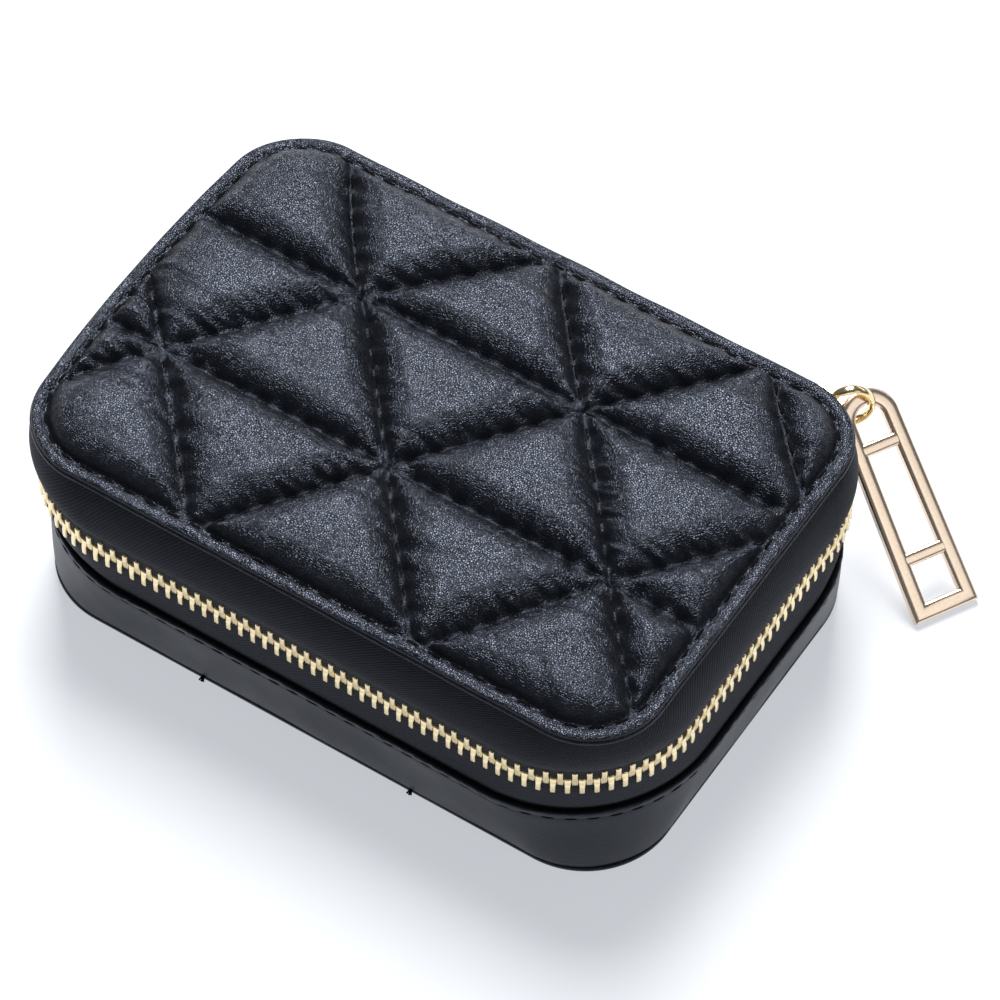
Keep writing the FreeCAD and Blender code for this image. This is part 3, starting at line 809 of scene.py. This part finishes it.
def band():
    """The tray's leather band, from under the foot to its turned top edge, and its stitches."""
    profile = (             # mm: (out from the sloping wall, height)
        (-3.0, 0.75), (-0.9, 0.72), (-0.45, 0.85), (-0.2, 1.15), (-0.05, 1.6), (0.0, 2.4), (0.08, 4.0),
        (0.12, 6.5), (0.10, 9.0), (0.08, 11.5), (0.10, 13.4), (0.12, 14.6), (0.06, 15.0), (-0.04, 15.2),
        (0.06, 15.4), (0.16, 15.75), (0.20, 16.15), (0.16, 16.42), (0.02, 16.60), (-0.30, 16.66),
        (-0.80, 16.60), (-1.10, 16.45), (-1.25, 16.1), (-1.25, 15.2), (-1.25, 13.0),
    )
    stitch_z = 15.2 * MM
    rows = []
    for out, z in profile:
        points, normals = ring(grown(tray_outline(min(z * MM, BAND_TOP)), out * MM))
        along = run_length(points)
        ripple = waves(along, z * MM * 0.7, 30 * MM, 41) * 0.10 * MM
        ripple += waves(along, z * MM, 9 * MM, 42) * 0.025 * MM
        if z > 15.5:        # the turned edge, above the stitches
            ripple += waves(along, z * MM, 1.6 * MM, 43) * 0.07 * MM
        rows.append(np.column_stack([points + normals * ripple[:, None], np.full(COUNT, z * MM)]))
    nodes = ("base_leather_band", "base_rim_welt")
    piece = link(sheet_mesh("tray_band", rows), "tray_band", "tray", SMOOTH_LEATHER, nodes)
    smoothing = piece.modifiers.new("smoothing", "SUBSURF")
    smoothing.levels = 1
    smoothing.render_levels = 1
    flat, normals = ring(tray_outline(stitch_z))
    path = level(tray_outline(stitch_z), stitch_z)
    outward = np.column_stack([normals, np.zeros(COUNT)])
    run = stitches_round(flat, path, outward, 3.6 * MM, 0.20 * MM, 0.80, 0.0)
    thread_piece("band_stitches", [run], "tray")


def bottom_panel():
    """The leather underside, its edge showing as a thin line below the band."""
    profile = ((-0.5, 0.95), (-0.1, 0.92), (0.05, 0.75), (0.08, 0.5), (0.0, 0.22), (-0.3, 0.04), (-1.0, 0.0))
    rows = [level(grown(FOOT, out * MM), z * MM) for out, z in profile]
    inset = 2.0 * MM
    while inset < FOOT[1]:
        groove = 0.18 * MM * math.exp(-((inset - 3.0 * MM) / (0.5 * MM)) ** 2)
        rows.append(level(shrunk(FOOT, inset), groove))
        inset += 0.5 * MM if inset < 5 * MM else 3.0 * MM
    rows.append(level(shrunk(FOOT, FOOT[1]), 0.0))
    mesh = cleaned(sheet_mesh("bottom_panel", [row[::-1] for row in rows]), WELD)
    link(mesh, "bottom_panel", "tray", QUILT_LEATHER, ("base_bottom_leather",))


# -------- zip teeth

END_RUN = 3.0 * MM
PITCH = 2.3 * MM
QUARTER = math.pi / 2 * CHAIN[2]
SIDE = 2 * (CHAIN[1] - CHAIN[2])
FRONT = 2 * (CHAIN[0] - CHAIN[2])
STRAIGHTS = (END_RUN, SIDE, FRONT, SIDE, END_RUN)      # with a corner of the zip between each two
PATH = sum(STRAIGHTS) + 4 * QUARTER
SLIDER_S = END_RUN + math.radians(90 - 77.0) * CHAIN[2]


def chain_point(s):
    """(point, tangent, outward normal) along the zip, from the back right round to the back left."""
    signs = ((1, 1), (1, -1), (-1, -1), (-1, 1))
    for turn, straight in enumerate(STRAIGHTS):
        x, y = signs[min(turn, 3)]
        corner = Vector((x * (CHAIN[0] - CHAIN[2]), y * (CHAIN[1] - CHAIN[2]), CHAIN_Z))
        angle = math.pi / 2 * (1 - turn)
        if turn == 4:           # the last straight runs on from the last corner
            ahead = s
            break
        s -= straight
        ahead = min(s, 0.0)     # on a straight, its end lies ahead
        if s <= QUARTER:
            angle -= max(s, 0.0) / CHAIN[2]
            break
        s -= QUARTER
    normal = Vector((math.cos(angle), math.sin(angle), 0))
    tangent = Vector((normal.y, -normal.x, 0))
    return corner + normal * CHAIN[2] + tangent * ahead, tangent, normal


def row_shift(s):
    """How far each row of teeth stands off the middle: they are parted up to the slider."""
    return 1.2 * MM * (1 - smooth_step(SLIDER_S - 3.0 * MM, SLIDER_S + 1.5 * MM, s))


def tooth():
    """One tooth, tip at -Z and root at +Z: two legs' width at the root, and a stepped-back wider head."""
    outline = (         # mm: (height, half width, half depth)
        (-0.85, 0.40, 0.45), (-0.78, 0.50, 0.62), (-0.60, 0.55, 0.74), (0.30, 0.56, 0.80),
        (0.62, 0.54, 0.82), (0.80, 0.47, 0.92), (1.00, 0.46, 0.96), (2.40, 0.48, 0.97),
        (2.62, 0.46, 0.94), (2.74, 0.38, 0.84),
    )
    section = squarish(16, 0.35, 0.35, phase=0.5)
    vertices = [(x * wide, y * deep, z) for z, wide, deep in outline for x, y in section]
    return np.array(vertices) * MM, tube_faces(len(outline), len(section))


def teeth_row(name, up, first, last, body, nodes):
    """The teeth between two distances along the zip: up is 1 for the upper tape's and -1 for the lower's."""
    places, faces = tooth()
    if up < 0:
        faces = [face[::-1] for face in faces]
    runs = []
    s = PITCH / 2 if up > 0 else PITCH
    while s < PATH - 1.0 * MM:
        if first <= s < last:
            point, tangent, normal = chain_point(s)
            point = point - normal * float(sag(point.x, point.y)) + Vector((0, 0, up * row_shift(s)))
            tilted = places.copy()
            tilted[:, 0] += places[:, 2] * RANDOM.normal(0, 0.012)
            axes = np.array([tangent, normal, Vector((0, 0, up))])
            runs.append(((tilted @ axes + np.array(point)).tolist(), faces))
        s += PITCH
    link(joined(name, runs), name, body, BRASS, nodes)


def zip_chain():
    first = 3.0 * MM
    last = PATH - 2.6 * MM
    cut = END_RUN + math.radians(90 - STAYING) * CHAIN[2]
    teeth_row("teeth_upper_end", 1, first, cut, "tray", ("zip_teeth_upper_corner",))
    teeth_row("teeth_upper", 1, cut, last, "lid", ("zip_teeth_upper",))
    teeth_row("teeth_lower", -1, first, last, "tray", ("zip_teeth_lower", "zip_teeth_lower_corner"))


# -------- inside

def tray_lining():
    """Velvet over the tray's floor and walls, rolled over the top of the wall."""
    def wall(z, out):
        return grown(tray_outline(min(z, BAND_TOP)), out)

    face = -4.4 * MM
    back = -1.85 * MM
    roll = 0.9 * MM         # height of the roll over the wall's top
    turn = 1.5 * MM         # radius from the wall down to the floor
    floor = FLOOR_Z + 0.02 * MM
    sections = [(wall(BAND_TOP, back), BAND_TOP - 3.0 * MM), (wall(BAND_TOP, back), WALL_TOP - 1.0 * MM)]
    for angle in np.linspace(0, math.pi, 7):
        out = (face + back) / 2 + (back - face) / 2 * math.cos(angle)
        sections.append((wall(BAND_TOP, out), WALL_TOP - roll + roll * math.sin(angle)))
    sections.append((wall(BAND_TOP, face), BAND_TOP))
    sections.append((wall(FLOOR_Z, face), FLOOR_Z + turn))
    for angle in np.linspace(0, math.pi / 2, 5)[1:]:
        out = face - turn * (1 - math.cos(angle))
        sections.append((wall(FLOOR_Z, out), floor + turn - turn * math.sin(angle)))
    edge = wall(FLOOR_Z, face - turn)
    for share in (0.2, 0.5, 0.8, 1.0):
        sections.append((shrunk(edge, edge[1] * share), floor))
    mesh = lofted("tray_lining", sections)
    nodes = ("base_wall_lining", "base_floor_lining", "base_wall_board", "base_bottom_board")
    link(mesh, "tray_lining", "tray", VELVET, nodes)


def lid_lining():
    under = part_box("lid_lining")[0].z
    edge = grown(LID, -1.7 * MM)
    flat = grown(edge, -2.0 * MM)
    sections = [(edge, LID_LOW - 0.02 * MM), (grown(edge, -0.3 * MM), LID_LOW - 0.5 * MM),
                (grown(edge, -1.0 * MM), under + 0.3 * MM), (flat, under)]
    for share in (0.3, 0.6, 0.85, 1.0):
        sections.append((shrunk(flat, flat[1] * share), under))
    mesh = lofted("lid_lining", sections)
    mesh.flip_normals()
    link(mesh, "velvet_lid_panel", "lid", VELVET, ("lid_lining",))


def pocket():
    """The lid's pocket: velvet gathered on to a ribbed elastic edge."""
    low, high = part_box("lid_pocket_panel")
    columns = 420
    xs = np.linspace(low.x + 0.2 * MM, high.x - 0.2 * MM, columns)
    tuck = (high.z - low.z) / 2 - 0.12 * MM
    rows = []
    for share in np.linspace(0, 1, 46):
        y = low.y + (high.y - low.y) * share
        pleats = waves(xs, np.full(columns, y * 0.06), 3.4 * MM, 61) * share ** 0.7
        pleats += waves(xs, np.full(columns, y), 11 * MM, 62) * 0.4 * math.sin(math.pi * share)
        z = (low.z + high.z) / 2 + np.clip(pleats, -1, 1) * tuck
        rows.append(np.column_stack([xs, np.full(columns, y), z]))
    mesh = sheet_mesh("lid_pocket", rows, False, 0, columns)
    panel = link(mesh, "lid_pocket", "lid", VELVET, ("lid_pocket_panel",))

    low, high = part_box("lid_pocket_elastic")
    half_y = (high.y - low.y) / 2 - 0.1 * MM
    half_z = (high.z - low.z) / 2 - 0.18 * MM
    ribs = 0.10 * MM * np.sin(2 * math.pi * xs / (1.3 * MM))
    wander = waves(xs, xs * 0, 9 * MM, 63) * 0.12 * MM
    rows = []
    for across, up in squarish(24, 0.7, 0.8):
        y = (low.y + high.y) / 2 + half_y * across + wander
        rows.append(np.column_stack([xs, y, (low.z + high.z) / 2 + (half_z + ribs) * up]))
    rows.append(rows[0])
    mesh = cleaned(sheet_mesh("pocket_elastic", rows, False, 0, columns), 0.01 * MM, closed=True)
    link(mesh, "pocket_elastic", "lid", TRIM, ("lid_pocket_elastic",))


def rolls():
    """Ring rolls: velvet over foam, crowned along the top and tucked in at the ends."""
    angles = np.linspace(0, math.pi, 28)
    for number in range(1, 6):
        node = "ring_roll_%d" % number
        low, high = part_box(node)
        half = (high.y - low.y) / 2 - 0.15 * MM
        long = high.x - low.x
        rows = []
        for turn in np.linspace(0, math.pi, 41):
            share = 0.5 - 0.5 * math.cos(turn)
            x = low.x + long * share
            inward = 1 - min(min(share, 1 - share) * long / (3.4 * MM), 1.0)
            plump = 0.25 + 0.75 * math.sqrt(1 - inward * inward)
            uneven = 0.075 * MM * math.sin(x * 900 + number)
            width = half * (0.75 + 0.25 * plump) - 0.25 * MM + uneven
            tall = (high.z - low.z - 0.1 * MM) * plump
            y = (low.y + high.y) / 2 + np.cos(angles) * width
            z = low.z + np.abs(np.sin(angles)) ** 0.7 * tall
            rows.append(np.column_stack([np.full(len(angles), x), y, z]))
        name = node + "_velvet"
        mesh = cleaned(sheet_mesh(name, rows, False, 0, len(angles)), closed=True)
        link(mesh, name, "tray", VELVET, (node,))


# -------- link and pull

PULL_FOOT = Vector((72.7, 37.8, 1.5)) * MM     # middle of the bar that rests on the table
PULL_YAW = math.radians(-30.1)
PULL_LEAN = math.radians(41.2)
PULL_LONG = 39.3 * MM
PULL_TOP_WIDE = 10.6 * MM
PULL_FOOT_WIDE = 11.7 * MM
PULL_SHIFT = (-1.7 * MM, -0.2 * MM)     # sideways place of the pull's middle, at its top and its foot
BAR_WIDE = 2.7 * MM
BAR_THICK = 1.75 * MM
CROSS_PLACES = (0.245, 0.735)
LINK_MIDDLE = Vector((47.15, 47.99, 25.25)) * MM
LINK_AXIS = Vector((math.sin(math.radians(39)), -math.cos(math.radians(39)), 0))
LINK_WIDE = 3.65 * MM       # half width of the ring's middle line
LINK_TALL = 4.25 * MM       # and half its height


def half_round(wide, thick):
    """(across, up) points of a bar with a flat back, straight sides and a crowned face."""
    points = []
    for k in range(13):
        angle = math.pi * k / 12
        across = math.cos(angle)
        bulge = 1 - abs(across) ** 5
        points.append((wide / 2 * across, thick * (0.28 + 0.22 * bulge)))
    low = -thick / 2
    chamfer = 0.14 * MM
    points += [
        (-wide / 2, low + chamfer), (-wide / 2 + chamfer, low), (wide / 2 - chamfer, low),
        (wide / 2, low + chamfer),
    ]
    return points


def swept(path, outward, face_up, profile, looped):
    """A bar along the path. outward holds the in-plane offset direction at each point."""
    vertices = []
    for point, side in zip(path, outward):
        vertices += [tuple(point + side * a + face_up * b) for a, b in profile]
    return vertices, tube_faces(len(path), len(profile), looped)


def metal_piece(name, runs, body, material, node):
    mesh = cleaned(joined(name, runs), closed=True)
    link(mesh, name, body, material, (node,))
    mesh.set_sharp_from_angle(angle=math.radians(35))


def pull():
    """The long frame: two sides that join in an arch at the top, a foot, and two crossbars."""
    across = Vector((-math.sin(PULL_YAW), math.cos(PULL_YAW), 0))
    level_way = Vector((-math.cos(PULL_YAW), -math.sin(PULL_YAW), 0))
    rise = level_way * math.cos(PULL_LEAN) + Vector((0, 0, math.sin(PULL_LEAN)))
    face_up = across.cross(rise)
    if face_up.z < 0:
        face_up = -face_up
    top_half = (PULL_TOP_WIDE - BAR_WIDE) / 2
    foot_half = (PULL_FOOT_WIDE - BAR_WIDE) / 2
    arch_foot = PULL_LONG - PULL_TOP_WIDE / 2 - BAR_WIDE / 2

    def place(side, up):
        """A point of the frame: side runs from -1 to 1 across it, up is the distance from its foot."""
        share = min(up / arch_foot, 1.0)
        half = foot_half + (top_half - foot_half) * share
        middle = PULL_SHIFT[1] + (PULL_SHIFT[0] - PULL_SHIFT[1]) * share
        return PULL_FOOT + across * (middle + side * half) + rise * up

    path = []
    outward = []
    for angle in np.linspace(0, math.pi, 33):
        way = across * math.cos(angle) + rise * math.sin(angle)
        path.append(place(0, arch_foot) + way * top_half)
        outward.append(way)
    for side in (-1, 1):
        path.append(place(side, 0))
        outward.append(across * side - rise)
    runs = [swept(path, outward, face_up, half_round(BAR_WIDE, BAR_THICK), True)]
    top = arch_foot + PULL_TOP_WIDE / 2
    profile = half_round(BAR_WIDE * 0.82, BAR_THICK * 0.94)
    for share in CROSS_PLACES:
        up = top - share * PULL_LONG
        runs.append(swept([place(-1, up), place(1, up)], [rise, rise], face_up, profile, False))
    metal_piece("pull_frame_bars", runs, "pull", SATIN, "pull_frame")


def link_ring():
    """The flattened ring that carries the pull."""
    level_way = LINK_AXIS.cross(Vector((0, 0, 1))).normalized()
    path = []
    outward = []
    for k in range(72):
        angle = 2 * math.pi * k / 72
        sideways = level_way * math.cos(angle)
        upward = Vector((0, 0, math.sin(angle)))
        path.append(LINK_MIDDLE + sideways * LINK_WIDE + upward * LINK_TALL)
        outward.append(sideways + upward)
    profile = [(0.55 * MM * x, 0.78 * MM * y) for x, y in squarish(16, 0.8, 0.8)]
    run = swept(path, outward, LINK_AXIS, profile, True)
    metal_piece("pull_link_ring", [run], "pull_link", GOLD, "link_ring")


# -------- carried-over CAD nodes

def finish_nodes():
    """Materials, and softened edges of so many mm, for the CAD nodes that stay."""
    looks = {
        "divider_long": (VELVET, 0.3), "divider_cross": (VELVET, 0.3), "divider_short": (VELVET, 0.3),
        "slider_body": (GOLD, 0.22), "slider_crown": (GOLD, 0.35), "slider_lock_pin": (GOLD, 0.08),
        "zip_top_stop_upper": (BRASS, 0.15), "zip_top_stop_lower": (BRASS, 0.15),
        "zip_bottom_stop": (BRASS, 0.25),
    }
    for node, (material, bevel) in looks.items():
        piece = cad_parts[node]
        for place in piece.material_slots:
            place.material = material
        modifier = piece.modifiers.new("softened", "BEVEL")
        modifier.width = bevel * MM
        modifier.segments = 3
        modifier.limit_method = "ANGLE"
        modifier.angle_limit = math.radians(35)


# -------- stage

def stage():
    """The pale paper floor, the studio's light and the photograph's camera."""
    scene = bpy.context.scene
    mesh = bpy.data.meshes.new("floor")
    half = 3.0
    corners = [(-half, -half, 0), (half, -half, 0), (half, half, 0), (-half, half, 0)]
    mesh.from_pydata(corners, [], [(0, 1, 2, 3)])
    floor = bpy.data.objects.new("floor", mesh)
    scene.collection.objects.link(floor)
    mesh.materials.append(Surface("floor_paper").finished({
        "Base Color": (0.40, 0.40, 0.40, 1), "Roughness": 0.7,
        "Emission Color": (0.90, 0.94, 1.0, 1), "Emission Strength": 0.56,
    }))

    world = bpy.data.worlds.new("studio")
    world.use_nodes = True
    background = world.node_tree.nodes["Background"].inputs
    background["Color"].default_value = (0.86, 0.92, 1.0, 1)
    background["Strength"].default_value = 0.15
    scene.world = world

    def aimed(name, data, place, way):
        holder = bpy.data.objects.new(name, data)
        holder.location = place
        holder.rotation_euler = way.to_track_quat("-Z", "Y").to_euler()
        scene.collection.objects.link(holder)
        return holder

    def softbox(name, place, size_x, size_y, power, colour=(1, 1, 1)):
        lamp = bpy.data.lights.new(name, "AREA")
        lamp.shape = "RECTANGLE"
        lamp.size = size_x
        lamp.size_y = size_y
        lamp.energy = power
        lamp.color = colour
        aimed(name, lamp, place, Vector((0, 0, 0.02)) - Vector(place))

    softbox("key_overhead", (-0.36, 0.55, 1.02), 0.44, 0.80, 28, (0.96, 0.97, 1.0))
    softbox("right_fill", (1.05, -0.2, 0.75), 0.5, 0.5, 1.1)
    softbox("back_strip", (0.3, 1.2, 0.5), 1.0, 0.3, 1.2)

    target = Vector((5.95, 7.24, 15.4)) * MM
    azimuth = math.radians(33.0)
    elevation = math.radians(53.6)
    distance = 0.8875
    away = Vector((
        math.sin(azimuth) * math.cos(elevation), -math.cos(azimuth) * math.cos(elevation), math.sin(elevation)
    ))
    camera = bpy.data.cameras.new("camera")
    camera.sensor_width = 36.0
    camera.lens = 196.8
    camera.clip_start = 0.01
    camera.clip_end = 20.0
    scene.camera = aimed("camera", camera, target + away * distance, -away)
    scene.view_settings.view_transform = "Standard"


stage()
lid_cover()
lid_stitches()
thread_ends()
tapes()
fold()
band()
bottom_panel()
zip_chain()
tray_lining()
lid_lining()
pocket()
rolls()
pull()
link_ring()
finish_nodes()
